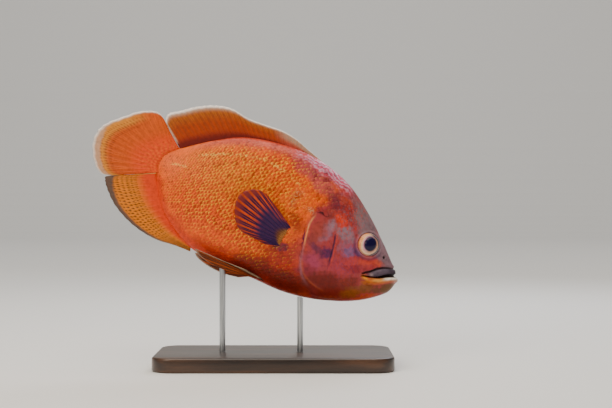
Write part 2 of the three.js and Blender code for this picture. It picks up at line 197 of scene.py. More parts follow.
def add_product(tree, amount, first, second):
    """The first colour multiplied by the second, as far as a constant amount says."""
    mix = tree.nodes.new("ShaderNodeMix")
    mix.data_type = "RGBA"
    mix.blend_type = "MULTIPLY"
    sockets = {s.identifier: s for s in mix.inputs}
    sockets["Factor_Float"].default_value = amount
    tree.links.new(first, sockets["A_Color"])
    tree.links.new(second, sockets["B_Color"])
    return {s.identifier: s for s in mix.outputs}["Result_Color"]


def add_bump(tree, shader, height, strength, depth):
    """Bump from a height. depth is in metres."""
    bump = tree.nodes.new("ShaderNodeBump")
    bump.inputs["Strength"].default_value = strength
    bump.inputs["Distance"].default_value = depth
    tree.links.new(height, bump.inputs["Height"])
    tree.links.new(bump.outputs["Normal"], shader.inputs["Normal"])


def painted(name, roughness, coat, mottle, mottle_scale, grain_scale, grain_depth, specular=0.22):
    """A finish whose colour is the mesh's own paint, darkened in soft mottles, with a fine grain."""
    material, tree, shader = new_finish(name, roughness, coat, specular)
    own_paint = tree.nodes.new("ShaderNodeAttribute")
    own_paint.attribute_name = "paint"
    shades = [(0.32, "8f8f8f"), (0.5, "e4e4e4"), (0.7, "ffffff")]
    mottles = add_ramp(tree, add_noise(tree, mottle_scale, 4), shades)
    colour = add_product(tree, mottle, own_paint.outputs["Color"], mottles)
    tree.links.new(colour, shader.inputs["Base Color"])
    add_bump(tree, shader, add_noise(tree, grain_scale, 2), 0.5, grain_depth)
    return material


SKIN_FINISH = painted("fish_skin", 0.4, 0.1, 0.45, 330, 1500, 0.00025)
SCALE_FINISH = painted("scales", 0.42, 0.07, 0.35, 620, 2600, 0.0001)
FIN_FINISH = painted("fins", 0.55, 0.03, 0.3, 420, 2200, 0.00012)
EYE_FINISH = painted("eyes", 0.3, 0.35, 0.15, 900, 3000, 0.00002, 0.4)
LENS_FINISH, _, LENS_SHADER = new_finish("eye_lenses", 0.05, 0.12, 0.2)
LENS_SHADER.inputs["Base Color"].default_value = (*tint("0e0434"), 1)
print("finishes made")

# %% [markdown]
# ## The body's shape
# The body is a stack of cross sections between two side-view curves, the back and the belly. It could be
# sculpted by eye, but the curves and half widths are the named sizes that shaped the solids, so the skin
# follows them closely. A point is found from its share along the body and its turn round the section, and
# then it is swung and tilted into the pose.

# %% Named sizes
NOSE_DOWN = math.radians(28)
TAIL_SWING = 11
SWING_FROM = 120
SWING_LENGTH = 185
FISH_X = -92
FISH_Z = 173.5
TAIL_THINS = 2  # how far the body draws in at the root of the tail fin
SKIN_UNDER = 0.7  # how far the skin lies inside the solids, to leave room for the scales
BACK = [(-7, 13), (8, 20.5), (27, 36), (48, 50), (75, 59), (104, 63.2), (128, 61.5), (150, 55.2), (172, 43.2),
        (193, 28.6), (208, 16.6), (216.2, 9.8), (221.5, 1.5)]
BELLY = [(-7, -14.5), (2, -24.5), (15, -37.6), (33, -49), (56, -56.2), (84, -55.6), (112, -53.6),
         (138, -51.8), (163, -45.8), (186, -36.2), (204, -25), (218.5, -10.5), (221.5, 1.5)]
HALF_WIDTH = [3.2, 5.6, 9, 13.2, 18, 21.6, 23.6, 23.8, 21.6, 17.4, 13.2, 8.6, 0]
BACK_SHARPNESS = 1.12  # over 1 draws the section in to a ridge, and under 1 swells it
BELLY_SHARPNESS = 0.86
NOSE_LOSES = 0.2  # how much of the back's sharpness is gone at the nose
SMALL_STEP = 0.002  # of share or of radians, to measure slopes with
print("the body has", len(HALF_WIDTH), "sections")


# %% Curves and the body's surface
def spline(points, share):
    """Points of a smooth curve through all the given ones. Each span takes an equal share."""
    points = np.asarray(points, float)
    last = len(points) - 1
    place = np.clip(np.asarray(share, float), 0, 1) * last
    i = np.minimum(np.floor(place).astype(int), last - 1)
    t = (place - i)[..., None]
    before, start = points[np.maximum(i - 1, 0)], points[i]
    end, after = points[i + 1], points[np.minimum(i + 2, last)]
    leave, arrive = (end - before) / 2, (after - start) / 2
    cubic = (2 * start - 2 * end + leave + arrive) * t ** 3
    square = (3 * end - 3 * start - 2 * leave - arrive) * t ** 2
    return cubic + square + leave * t + start


def middle_line(share):
    """Half way between the back and the belly."""
    return (spline(BACK, share) + spline(BELLY, share)) / 2


def arc_length(points):
    """The distance along a row of points to each of them."""
    return np.r_[0, np.cumsum(np.linalg.norm(np.diff(points, axis=0), axis=1))]


def body_point(share, turn):
    """The body's surface in the fish's own frame, in mm: along, to its left, and up."""
    middle, up = middle_line(share), (spline(BACK, share) - spline(BELLY, share)) / 2
    half = spline([(w, 0) for w in HALF_WIDTH], share)[..., 0]
    sharpness = np.where(np.sin(turn) > 0, BACK_SHARPNESS - NOSE_LOSES * share, BELLY_SHARPNESS)
    along = middle[..., 0] + up[..., 0] * np.sin(turn)
    side = np.sign(np.cos(turn)) * np.abs(np.cos(turn)) ** sharpness * half
    high = middle[..., 1] + up[..., 1] * np.sin(turn)
    return np.stack([along, side, high], -1)


def body_normal(share, turn):
    """The way out of the body's surface."""
    ahead, behind = np.minimum(share + SMALL_STEP, 1), np.maximum(share - SMALL_STEP, 0)
    along = body_point(ahead, turn) - body_point(behind, turn)
    round_it = body_point(share, turn + SMALL_STEP) - body_point(share, turn - SMALL_STEP)
    normal = np.cross(round_it, along)
    length = np.linalg.norm(normal, axis=-1, keepdims=True)
    return normal / np.maximum(length, 1e-9)


def posed(points):
    """From the fish's own frame in mm to the scene in metres: the tail swings and the nose tips down."""
    a, y, h = points[..., 0], points[..., 1], points[..., 2]
    y = y + TAIL_SWING * np.maximum(0, (SWING_FROM - a) / SWING_LENGTH) ** 2
    x = a * math.cos(NOSE_DOWN) + h * math.sin(NOSE_DOWN) + FISH_X
    z = h * math.cos(NOSE_DOWN) - a * math.sin(NOSE_DOWN) + FISH_Z
    return np.stack([x, y, z], -1) * MM


print("the middle line is", arc_length(middle_line(np.linspace(0, 1, 200)))[-1].round(1), "mm long")

# %% [markdown]
# ## Markings
# The flank is orange with a redder back and belly. The head turns grey and mauve towards the forehead and
# crimson on the cheek, and the throat is a deep brown red. Each patch is a soft ellipse, given by its
# middle, its two half sizes, its slant and its colour, so the whole pattern can be read and changed as a
# list.

# %% The patches of colour
# Each row: middle along, middle up, half length, half height, slant in degrees, colour, strength.
PATCHES = [
    (60, 53, 46, 8, 18, "d83a14", 0.75),
    (112, 55, 40, 9, -2, "b03028", 0.85),
    (122, 46, 28, 7, -12, "b85a68", 0.6),
    (100, -50, 70, 12, 0, "b02408", 0.85),
    (30, -42, 34, 9, 40, "e8480e", 0.7),
    (128, -34, 24, 18, 10, "a81a10", 0.85),
    (133, -14, 9, 13, 0, "b83a34", 0.8),
    (120, 7, 9, 8, 0, "c44a1e", 0.7),
    (142, 38, 12, 8, -20, "6c2a3c", 0.75),
    (150, 24, 12, 10, -20, "9a3c34", 0.7),
    (151, 43, 7, 6, -30, "cc4a30", 0.75),
    (158, 46, 9, 5, -30, "8a5c68", 0.7),
    (164, 33, 8, 7, -20, "7c3a40", 0.75),
    (170, 38, 18, 9, -38, "866a6e", 0.9),
    (178, 30, 12, 9, -38, "876c74", 0.9),
    (196, 22, 15, 9, -52, "96747e", 0.95),
    (207, 13, 9, 7, -45, "866a74", 0.9),
    (164, 17.5, 10, 7, -18, "8c7888", 0.85),
    (149, 18, 6, 6, 0, "9a7a8c", 0.8),
    (148, 9, 4.5, 8, -8, "94687e", 0.75),
    (153, 27, 5, 4.5, 0, "f03c18", 1.0),
    (158, 23, 3, 3, 0, "e03420", 0.7),
    (141, 8, 8, 13, -6, "a84438", 0.8),
    (141, 0, 7, 7, -6, "8e3838", 0.6),
    (155.5, -4.5, 5.5, 5.5, 0, "54164e", 0.95),
    (146, -4.5, 7, 4.5, 0, "702c4c", 0.85),
    (150, -15, 10, 8, 10, "ac3a5c", 0.9),
    (148, -25, 12, 5, 18, "8c2238", 0.7),
    (172.5, 5.5, 5, 7, -12, "80608e", 0.85),
    (166, 8, 4, 8, -12, "9c6078", 0.6),
    (180, 9, 6, 4, 20, "66386e", 0.85),
    (178, -1, 6, 5, 20, "c83c3c", 0.8),
    (190, 6, 10, 4.5, 28, "d24432", 0.95),
    (199, 8.5, 6, 3, 28, "d2523a", 0.85),
    (170, -10, 13, 8, 24, "b03444", 0.9),
    (184, -5, 9, 4.5, 30, "88142a", 0.8),
    (122, -22, 13, 11, 10, "a8301e", 0.75),
    (126, 4, 6, 8, 0, "b04424", 0.6),
    (108, -42, 22, 10, 4, "701208", 0.85),
    (142, -40, 26, 12, 12, "740e00", 0.95),
    (166, -25, 21, 8, 24, "741200", 0.95),
    (176, -31, 18, 8, 30, "761600", 0.9),
    (186, -17, 10, 6, 34, "7c2002", 0.85),
    (178, -38, 18, 3, 28, "a83c0a", 0.8),
    (191, -24, 10, 6, 38, "8c4a00", 0.9),
    (200, -15, 8, 5, 40, "84480a", 0.9),
    (203, -23, 13, 3, 42, "c0480a", 0.85),
    (209, -12.5, 6, 4.5, 40, "68380e", 0.85),
    (217, -7, 7, 5, 60, "6c4414", 0.95),
    (199, -8.5, 6, 2.5, 34, "c06a18", 0.8),
]
CHEEK = "a03440"
FLANK = "ff6000"


def on_side(a, h, patch):
    """How strongly a soft ellipse covers each point of the side."""
    along, high, long, tall, slant, _, strength = patch
    c, s = math.cos(math.radians(slant)), math.sin(math.radians(slant))
    x, z = a - along, h - high
    far = np.hypot((x * c + z * s) / long, (z * c - x * s) / tall)
    return strength * (1 - smooth(0.4, 1.22, far))


BACK_LINE = spline(BACK, np.linspace(0, 1, 60))
BELLY_LINE = spline(BELLY, np.linspace(0, 1, 60))
BARE_BAND = 9  # the strip along the back and over the belly where scales hardly show
UPPER_LATERAL = [(110, 35.5), (98.6, 39), (88.4, 40.2), (73.9, 40.3), (52.9, 34.4), (31.7, 23.6), (23, 18)]
LOWER_LATERAL = [(17.8, 4.6), (4.4, 0.9)]


def under_back(a, h):
    """How far a point lies below the back, seen from the side."""
    return np.interp(a, BACK_LINE[:, 0], BACK_LINE[:, 1]) - h


def over_belly(a, h):
    """How far a point lies above the belly, seen from the side."""
    return h - np.interp(a, BELLY_LINE[:, 0], BELLY_LINE[:, 1])


def markings(points):
    """The fish's colour at points in its own frame, with painted sheen along the back and painted shade under
    the belly.
    """
    a, h = points[..., 0], points[..., 2]
    wobble = 1.2 * np.sin(a * 0.31 + h * 0.17) + 0.9 * np.sin(h * 0.43 - a * 0.12)
    ripple = 0.45 * np.sin(a * 1.25 + h * 0.7) + 0.45 * np.sin(h * 1.5 - a * 0.9)
    a, h = a + wobble + ripple, h + 0.7 * wobble - ripple
    edge, _ = to_line(a, h, HEAD_EDGE, 16)
    colour = layered(
        plain(FLANK, a),
        ("ff8c08", 0.8 * spot(a, h, 62, 16, 46, 22)),
        (CHEEK, 0.92 * smooth(-4, 4, edge)))
    for patch in PATCHES:
        colour = layered(colour, (patch[5], on_side(a, h, patch)))
    grain = np.sin(a * 1.7 + 1.3 * np.sin(h * 1.1)) * np.sin(h * 1.9 + 1.1 * np.sin(a * 0.9 + 2))
    brow = spot(a, h, 160, 30, 13, 20)
    cheek = spot(a, h, 174, -5, 17, 13)
    deep = under_back(a, h)
    band = smooth(BARE_BAND + 3, BARE_BAND - 5, deep)
    nape = band * window(a, 80, 118, 140, 156)
    # the streaks are painted sheen running along the back
    streaks = 0.5 + 0.5 * np.sin(deep * 2.1 + 0.8 * np.sin(a * 0.21))
    rump = window(a, 8, 30, 76, 110)
    vent = smooth(BARE_BAND + 2, BARE_BAND - 5, over_belly(a, h)) * (1 - smooth(56, 76, a))
    colour = layered(
        colour,
        ("d83c20", 0.75 * brow * smooth(0.25, 0.6, grain)),
        ("8c7880", 0.5 * brow * smooth(-0.25, -0.6, grain)),
        ("cc3830", 0.5 * cheek * smooth(0.2, 0.6, grain)),
        ("7c4068", 0.4 * cheek * smooth(-0.3, -0.65, grain)),
        # the mauve band over the nape is the fish's own colour, and its pale streaks are painted sheen
        ("d44c78", 0.8 * nape),
        ("ecc8e0", 0.85 * nape * streaks ** 2),
        ("c43410", 0.75 * band * rump),
        # painted sheen: a pale salmon line just below the back of the rump
        ("f4785c", 0.45 * rump * ridge(deep - 4.5, 2.5) * smooth(40, 70, a)),
        ("dc3a00", 0.85 * vent))
    shadow = smooth(-26, -44, h) * window(a, 84, 116, 186, 204)
    return shoulder_marks(a, h, colour * (1 - 0.3 * shadow)[..., None])


def shoulder_marks(a, h, colour):
    """A pale speckle behind the gill slot, a round bony bump, and the dark patch under the pectoral root."""
    grains = 0.5 + 0.5 * np.sin(a * 4.1 + np.sin(h * 3.3) * 1.6) * np.sin(h * 4.6 + a * 1.4)
    for place in ((127.5, 21, 4.5, 2.4), (112, 24, 3.2, 7)):
        speckled = spot(a, h, *place)
        colour = layered(
            colour,
            ("4a1c0c", 0.6 * speckled * (1 - grains)),
            ("f0d098", 0.8 * speckled * smooth(0.5, 0.75, grains)))
    bump = np.hypot(a - 120.5, h - 8)
    root = np.hypot((a - 120) / 7, (h + 17) / 3.4)
    return layered(
        colour,
        ("7c3018", 0.55 * ridge(bump - 4.6, 1.0) + 0.4 * ridge(bump, 2.4)),
        ("3c1440", 0.75 * (1 - smooth(0.5, 1.1, root))))


print("patches:", len(PATCHES))

# %% [markdown]
# ## Relief of the head
# The head carries the forms that make a fish's face: the gill cover with its free rear edge, the cheek's
# crease, the rim of the eye, the nostrils and the lips. They could be bump in the finish, but bump changes
# no outline and casts no shadow, so the skin itself rises and sinks. Each form is a height in millimetres
# over the plain body, found from the distance to a line drawn on the side of the head.

# %% Distances to lines on the side
HEAD_EDGE = [(150, 62), (140, 40), (130, 21), (130.5, 8), (134.5, -6), (138, -18), (146, -30), (157, -41),
             (166, -56)]
GILL_EDGE = [(134, 22.5), (131.8, 17), (131.5, 10), (133, 3), (135.5, -6), (138, -14), (141, -22),
             (147, -30.5), (157, -36.8), (170, -39.5), (184, -38.5)]
CHEEK_CREASE = [(155.4, 16.5), (155.9, 13), (157.7, 8), (159.5, 1), (161, -6), (163, -13), (165.4, -19),
                (171, -26)]
INNER_EDGE = [(141, -19), (146.7, -27.5), (154, -31.6), (163, -33.6), (172.7, -34)]
MOUTH_LINE = [(190.5, -7.4), (196, -5.6), (201, -3.9), (206, -1.3), (210.5, 2.3), (215, 4.9), (222, 7.6)]
LIP_CREASE = [(189.8, -6.4), (193, -2.8), (196.1, -0.3), (200.1, 4.2), (205.2, 8.1), (211, 10.8), (219, 13)]
CHIN_CREASE = [(192, -12), (199, -13), (206, -10.5), (212, -7), (219, -4.5)]
THROAT_FOLD = [(150, -41), (164, -42.5), (178, -38.5), (190, -31)]


def to_line(a, h, points, steps=40):
    """Signed distance to a line, positive on its upper or front side, and the share along the line."""
    line = spline(points, np.linspace(0, 1, steps))
    best = np.full(a.shape, 1e9)
    signed = np.zeros(a.shape)
    share = np.zeros(a.shape)
    for i in range(steps - 1):
        start, span = line[i], line[i + 1] - line[i]
        t = np.clip(((a - start[0]) * span[0] + (h - start[1]) * span[1]) / (span @ span), 0, 1)
        da, dh = a - start[0] - t * span[0], h - start[1] - t * span[1]
        far = np.hypot(da, dh)
        nearer = far < best
        best = np.where(nearer, far, best)
        signed = np.where(nearer, far * np.sign(span[0] * dh - span[1] * da), signed)
        share = np.where(nearer, (i + t) / (steps - 1), share)
    return signed, share


gill_edge_line = spline(GILL_EDGE, np.linspace(0, 1, 40))
print("the gill cover's edge is", arc_length(gill_edge_line)[-1].round(1), "mm long")


# %% The head's relief
EYE_AT = (184.9, 19.1)
EYE_RADIUS = 9.4
NOSTRIL_AT = (201.5, 15.5)


def relief(points):
    """Height over the plain body in mm, and how deep in shade each point lies, from 0 to 1."""
    a, h = points[..., 0], points[..., 2]
    edge, along_edge = to_line(a, h, GILL_EDGE)
    near_edge = 1 - smooth(20, 26, np.hypot(a - 147, h + 8))
    lower = 1 - 0.6 * smooth(0.45, 0.6, along_edge)
    rim = 0.9 * window(edge, -0.4, 0.4, 3, 20) - 1.1 * ridge(edge + 1.0, 1.1) + 0.3 * ridge(edge - 1.3, 0.8)
    height = window(along_edge, 0, 0.08, 0.55, 0.8) * near_edge * lower * rim
    inner, along_inner = to_line(a, h, INNER_EDGE)
    height += 0.3 * window(along_inner, 0, 0.3, 0.7, 1) * ridge(inner, 0.9)
    height -= 0.9 * spot(a, h, 138, 24, 6, 1.3)
    crease, along_crease = to_line(a, h, CHEEK_CREASE)
    lip_and_groove = 0.45 * ridge(crease - 1.8, 1.8) - 0.75 * ridge(crease, 0.75)
    height += window(along_crease, 0, 0.2, 0.7, 1) * lip_and_groove
    height += 0.7 * spot(a, h, 172, -8, 13, 12)
    fold, along_fold = to_line(a, h, THROAT_FOLD)
    height -= 0.35 * ridge(fold, 1.2) * window(along_fold, 0, 0.2, 0.8, 1)
    eye = np.hypot(a - EYE_AT[0], h - EYE_AT[1]) - EYE_RADIUS
    socket = 1 - smooth(-1.0, 0.2, eye)
    height += 0.5 * ridge(eye - 1.1, 1.0) - 0.25 * ridge(eye - 3.2, 1.2) - 4.5 * socket
    nostril = np.hypot(a - NOSTRIL_AT[0], h - NOSTRIL_AT[1])
    height += 0.35 * ridge(nostril - 1.9, 0.7) - 1.6 * (1 - smooth(0.7, 1.4, nostril))
    mouth, along_mouth = to_line(a, h, MOUTH_LINE)
    open_by = 0.3 + 1.0 * smooth(0.3, 0.75, along_mouth)
    in_mouth = smooth(0.0, 0.15, along_mouth)
    gap = in_mouth * (1 - smooth(open_by - 0.15, open_by + 0.45, np.abs(mouth)))
    height += in_mouth * (1.6 * ridge(mouth + open_by + 2.3, 2.1) + 0.2 * ridge(mouth - open_by - 2.6, 2.3))
    height -= (5.5 - 3.7 * smooth(207, 215, a)) * gap
    lip, along_lip = to_line(a, h, LIP_CREASE)
    under_crease = smooth(0, 0.15, along_lip) * (1 - 0.5 * smooth(0.75, 1, along_lip))
    height += under_crease * (0.5 * ridge(lip - 1.2, 1.2) - 1.7 * ridge(lip + 0.5, 0.8))
    chin, along_chin = to_line(a, h, CHIN_CREASE)
    height -= 0.5 * ridge(chin, 1.1) * window(along_chin, 0, 0.3, 0.5, 0.8)
    shade = np.clip(gap + 0.85 * under_crease * ridge(lip + 0.5, 0.75) + socket, 0, 1)
    return height, shade


nostril_point = np.array([[NOSTRIL_AT[0], 0, NOSTRIL_AT[1]]])
nostril_height, nostril_shade = relief(nostril_point)
print("the nostril is", -nostril_height[0].round(2), "mm deep")

# %% [markdown]
# ## The head's own colours
# The lips, the crease over the mouth and the pale rear edge of the gill cover are narrow, so they follow
# the lines of the relief and not the soft patches. The creases, the gill slot and the nostrils are painted
# dark along them as shade, and the lips carry painted highlights.

# %% Painting along the lines
def face_lines(points, colour, shade):
    """The markings with the lines of the face laid over them, with painted shade and painted highlights among
    them.
    """
    a, h = points[..., 0], points[..., 2]
    edge, along_edge = to_line(a, h, GILL_EDGE)
    upper_edge = window(along_edge, 0.03, 0.12, 0.36, 0.46)
    lower_edge = window(along_edge, 0.36, 0.46, 0.66, 0.82)
    inner, along_inner = to_line(a, h, INNER_EDGE)
    crease, along_crease = to_line(a, h, CHEEK_CREASE)
    ends = window(along_crease, 0.08, 0.2, 0.55, 0.8)
    colour = layered(
        colour,
        ("e8985c", 0.8 * upper_edge * ridge(edge - 0.9, 0.75)),
        # painted shade in the groove under the gill cover's free edge
        ("3c1458", 0.85 * upper_edge * smooth(8, 0, h) * ridge(edge + 0.9, 0.7)),
        ("a07484", 0.45 * lower_edge * ridge(edge - 0.2, 1.2)),
        ("c8582c", 0.4 * (1 - smooth(0.7, 1, along_inner)) * ridge(inner, 0.8)),
        # painted shade: the gill slot and the cheek's crease sink in and are painted dark
        ("1e0a1c", 0.9 * spot(a, h, 138.5, 24.2, 6.5, 1.7)),
        ("260a40", 0.92 * ends * ridge(crease, 0.75)),
        ("d8402c", 0.5 * ends * ridge(crease - 1.6, 0.7)))
    mouth, along_mouth = to_line(a, h, MOUTH_LINE)
    lip, along_lip = to_line(a, h, LIP_CREASE)
    on_upper = smooth(-0.4, -1.4, lip) * smooth(0.4, 1.2, mouth) * smooth(0.06, 0.3, along_mouth)
    on_lower = smooth(0.25, 0.4, along_mouth) * ridge(mouth + 2.1, 1.3)
    rear_lower = window(along_mouth, 0.1, 0.25, 0.5, 0.75)
    under_lower = smooth(0.2, 0.4, along_mouth) * ridge(mouth + 4.4, 1.7)
    # painted shade darkens the crease over the upper lip
    lip_crease_shade = window(along_lip, 0.02, 0.1, 0.45, 0.8) * ridge(lip + 0.2, 1.0)
    colour = layered(
        colour,
        ("5a5060", 0.95 * on_upper),
        ("2a1c34", 0.7 * on_upper * ridge(mouth - 1.4, 1.2)),
        ("2c1c28", 0.65 * on_upper * smooth(0.62, 0.9, along_mouth)),
        # painted highlights: a pale band in the upper lip's middle and a pale spot at its rear
        ("8c7c8c", 0.5 * on_upper * ridge(lip + 2.2, 1.1) * ridge(along_mouth - 0.48, 0.2)),
        ("b8a0a0", 0.6 * spot(a, h, 198.4, -2.6, 1.6, 1.2)),
        ("e87a14", 0.9 * rear_lower * ridge(mouth + 3.0, 1.6)),
        ("d06410", 0.85 * under_lower * (1 - smooth(0.7, 0.95, along_mouth))),
        ("c09070", 0.6 * under_lower * smooth(0.75, 0.95, along_mouth)),
        ("f0a84c", 0.95 * on_lower),
        # painted highlight on the front of the lower lip
        ("fff6e8", on_lower * smooth(0.5, 0.68, along_mouth)),
        ("6c4422", 0.7 * smooth(0.4, 0.6, along_mouth) * ridge(mouth + 7.8, 1.5)),
        # painted highlight at the mouth's corner
        ("ffa41c", 0.9 * spot(a, h, 194.5, -7.2, 2.6, 1.7)),
        ("180618", 0.9 * lip_crease_shade))
    eye = np.hypot(a - EYE_AT[0], h - EYE_AT[1]) - EYE_RADIUS
    nostril = np.hypot(a - NOSTRIL_AT[0], h - NOSTRIL_AT[1])
    return layered(
        colour,
        ("a08490", 0.35 * ridge(eye - 1.3, 0.6)),
        # painted shadow of the socket below the eye
        ("4a2c58", 0.6 * ridge(eye - 3.0, 1.3) * smooth(2, -6, h - EYE_AT[1])),
        # painted shade in the nostril's pit
        ("1c1218", 0.95 * (1 - smooth(0.7, 1.6, nostril))),
        ("100508", 0.97 * shade))


print("the nostril's colour:", face_lines(nostril_point, markings(nostril_point), nostril_shade)[0].round(3))

# %% [markdown]
# ## The skin
# One closed surface covers the head, jaw, trunk and tail stem, so no seam shows. It starts as a flat grid,
# which is rolled into the body: it runs from tail to nose one way and once round the other. More of its
# lines fall on the head and along the sides, where the relief needs them. The long seam is welded and the
# two ends are filled.

# %% Meshes from a grid
WELD_WITHIN = 2e-7  # metres


def finished(name, mesh, finish, replaced=()):
    """Puts a mesh in the scene as a smooth piece of the model."""
    piece = bpy.data.objects.new(name, mesh)
    bpy.context.scene.collection.objects.link(piece)
    mesh.materials.append(finish)
    mesh.polygons.foreach_set("use_smooth", np.ones(len(mesh.polygons), bool))
    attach(piece, "root")
    if replaced:
        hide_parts(*replaced)
    print(name, "has", sum(len(p.vertices) - 2 for p in mesh.polygons), "triangles")


def paint(mesh, colours):
    """Keeps a colour for each corner point of the mesh in the attribute that the finishes read."""
    layer = mesh.color_attributes.new("paint", "FLOAT_COLOR", "POINT")
    values = np.ones((len(mesh.vertices), 4))
    values[:, :3] = colours
    layer.data.foreach_set("color", values.ravel())


def mesh_of(bm, name):
    """The mesh that a bmesh has grown into, with its faces turned outward."""
    bmesh.ops.recalc_face_normals(bm, faces=bm.faces)
    mesh = bpy.data.meshes.new(name)
    bm.to_mesh(mesh)
    bm.free()
    return mesh


def grid_mesh(columns, rows, place):
    """A grid bent into shape and welded. place turns shares from 0 to 1 into points and colours."""
    bm = bmesh.new()
    bmesh.ops.create_grid(bm, x_segments=columns, y_segments=rows, size=0.5)
    flat = np.array([v.co for v in bm.verts])
    points, colours = place(np.clip(flat[:, 0] + 0.5, 0, 1), np.clip(flat[:, 1] + 0.5, 0, 1))
    shade = bm.verts.layers.float_color.new("paint")
    for vert, point, colour in zip(bm.verts, points, colours):
        vert.co = point
        vert[shade] = (*colour, 1)
    bmesh.ops.remove_doubles(bm, verts=bm.verts, dist=WELD_WITHIN)
    bmesh.ops.holes_fill(bm, edges=[e for e in bm.edges if e.is_boundary], sides=0)
    return mesh_of(bm, "grid")


print("corners closer than", WELD_WITHIN, "m are welded")


# %% Rolling the skin
SKIN_COLUMNS = 340
SKIN_ROWS = 286
HEAD_FROM = 128  # the head's lines start here
HEAD_DENSITY = 2.4  # lines on the head for each one on the trunk
SIDE_DENSITY = 0.2  # how far the lines crowd towards the sides
LAST_SHARE = 0.9995  # the skin stops just short of the nose's point and is closed there
FLESH = ("head", "torso", "tail_stem", "gill_cover_left", "gill_cover_right", "upper_lip", "lower_jaw")


def crowded_shares():
    """A table from even steps to shares along the body, with more of them on the head."""
    share = np.linspace(0, 1, 800)
    middle = middle_line(share)
    length = np.r_[0, np.linalg.norm(np.diff(middle, axis=0), axis=1)]
    weight = 1 + (HEAD_DENSITY - 1) * smooth(HEAD_FROM - 12, HEAD_FROM + 8, middle[:, 0])
    total = np.cumsum(length * weight)
    return total / total[-1], share


EVEN, SHARE = crowded_shares()


def place_skin(along, around):
    """The skin's points and colours."""
    share = np.interp(along, EVEN, SHARE) * LAST_SHARE
    turn = 2 * np.pi * around - np.pi / 2
    turn = turn - SIDE_DENSITY * np.sin(2 * turn)
    base = body_point(share, turn)
    height, shade = relief(base)
    height = height - TAIL_THINS * smooth(16, -7, base[..., 0])
    lifted = base + body_normal(share, turn) * (height - SKIN_UNDER)[:, None]
    return posed(lifted), face_lines(base, markings(base), shade)


finished("fish_skin", grid_mesh(SKIN_COLUMNS, SKIN_ROWS, place_skin), SKIN_FINISH, FLESH)


# %% [markdown]
# ## The scales
# An oscar's scales lie in slanting rows like roof tiles, each with its rear edge over the next. Bump could
# draw them, but real edges catch the light, so every scale is a small rounded grid of its own. It is set
# down again and again, in columns that follow the girth, and each copy is bent to the skin below it. The
# scales shrink towards the tail stem, the head, the back and the belly. Each is painted redder as shade
# where it comes out from under its neighbour, and yellow-orange at its free edge as a painted highlight,
# which makes the flecks.

# %% One scale
SCALE_LONG = 6.6
SCALE_WIDE = 5.9
SCALE_STEPS = (0, 0.45, 0.62, 0.74, 0.84, 0.92, 1)  # closer together at the free edge
ROW_PITCH = 4.4
COLUMN_PITCH = 2.8
SCALES_END = 162  # the last column towards the nose
PATCH_ON_UNWRAP = 0.003


def scale_form():
    """One scale's points (share along it from root to free edge, share across, height) and its faces."""
    bm = bmesh.new()
    bmesh.ops.create_grid(bm, x_segments=len(SCALE_STEPS) - 1, y_segments=5, size=0.5)
    points = np.array([v.co for v in bm.verts])
    faces = np.array([[v.index for v in f.verts] for f in bm.faces])
    bm.free()
    along = np.interp(points[:, 0] + 0.5, np.linspace(0, 1, len(SCALE_STEPS)), SCALE_STEPS)
    across = points[:, 1]
    narrow = np.sqrt(np.clip(1 - (np.abs(along - 0.5) * 1.55) ** 2, 0.08, 1))
    rounded = along - 0.26 * (2 * across) ** 2 * along
    dome = 0.16 * (1 - (2 * across) ** 2) * np.sin(np.pi * np.clip(along, 0, 1))
    return np.stack([rounded, across * narrow, dome], -1), along, faces


SCALE_POINTS, SCALE_ALONG, SCALE_FACES = scale_form()
print("one scale has", len(SCALE_FACES) * 2, "triangles")


# %% Where the scales go
def girth_table(share):
    """Turns and arc lengths round one section, from the middle of the side up and down."""
    turn = np.linspace(-np.pi / 2, np.pi / 2, 181)
    points = body_point(np.full(turn.shape, share), turn)
    arc = arc_length(points)
    return turn, arc - np.interp(0, turn, arc)


def scale_places(side, seed):
    """Share, turn, size, twist and three chances for every scale on one side."""
    draw = np.random.default_rng(seed)
    shares = np.linspace(0, 1, 1500)
    middle = middle_line(shares)
    arc = arc_length(middle)
    places = []
    at, column = 1.0, 0
    while True:
        share = np.interp(at, arc, shares)
        a = np.interp(at, arc, middle[:, 0])
        if a > SCALES_END:
            return np.array(places)
        size = 0.62 + 0.38 * smooth(-5, 75, a) - 0.12 * smooth(110, 150, a)
        turn, girth = girth_table(share)
        offset = ROW_PITCH * size / 2 if column % 2 else 0
        rows = np.arange(-24, 25) * ROW_PITCH * size + offset
        for row in rows[(rows > girth[0] + 0.4) & (rows < girth[-1] - 0.2)]:
            here = np.interp(row, girth, turn)
            point = body_point(np.array(share), np.array(here))
            edge, _ = to_line(point[0:1], point[2:3], GILL_EDGE)
            over_slot = point[2] > 25 and point[0] < 168 - 0.28 * (point[2] - 25)
            if (edge[0] > -3.2 and point[2] < 26) or (point[2] >= 26 and not over_slot):
                continue
            near_end = min(row - girth[0], girth[-1] - row)
            fit = size * (0.72 + 0.28 * smooth(0, 9, near_end))
            slip = draw.normal(0, 1, 3) * (0.0012, 0.008, 0.09)
            settled = here + slip[1]
            turned_side = settled if side > 0 else np.pi - settled
            places.append((share + slip[0], turned_side, fit, slip[2] * side, *draw.uniform(0, 1, 3)))
        at += COLUMN_PITCH * size
        column += 1


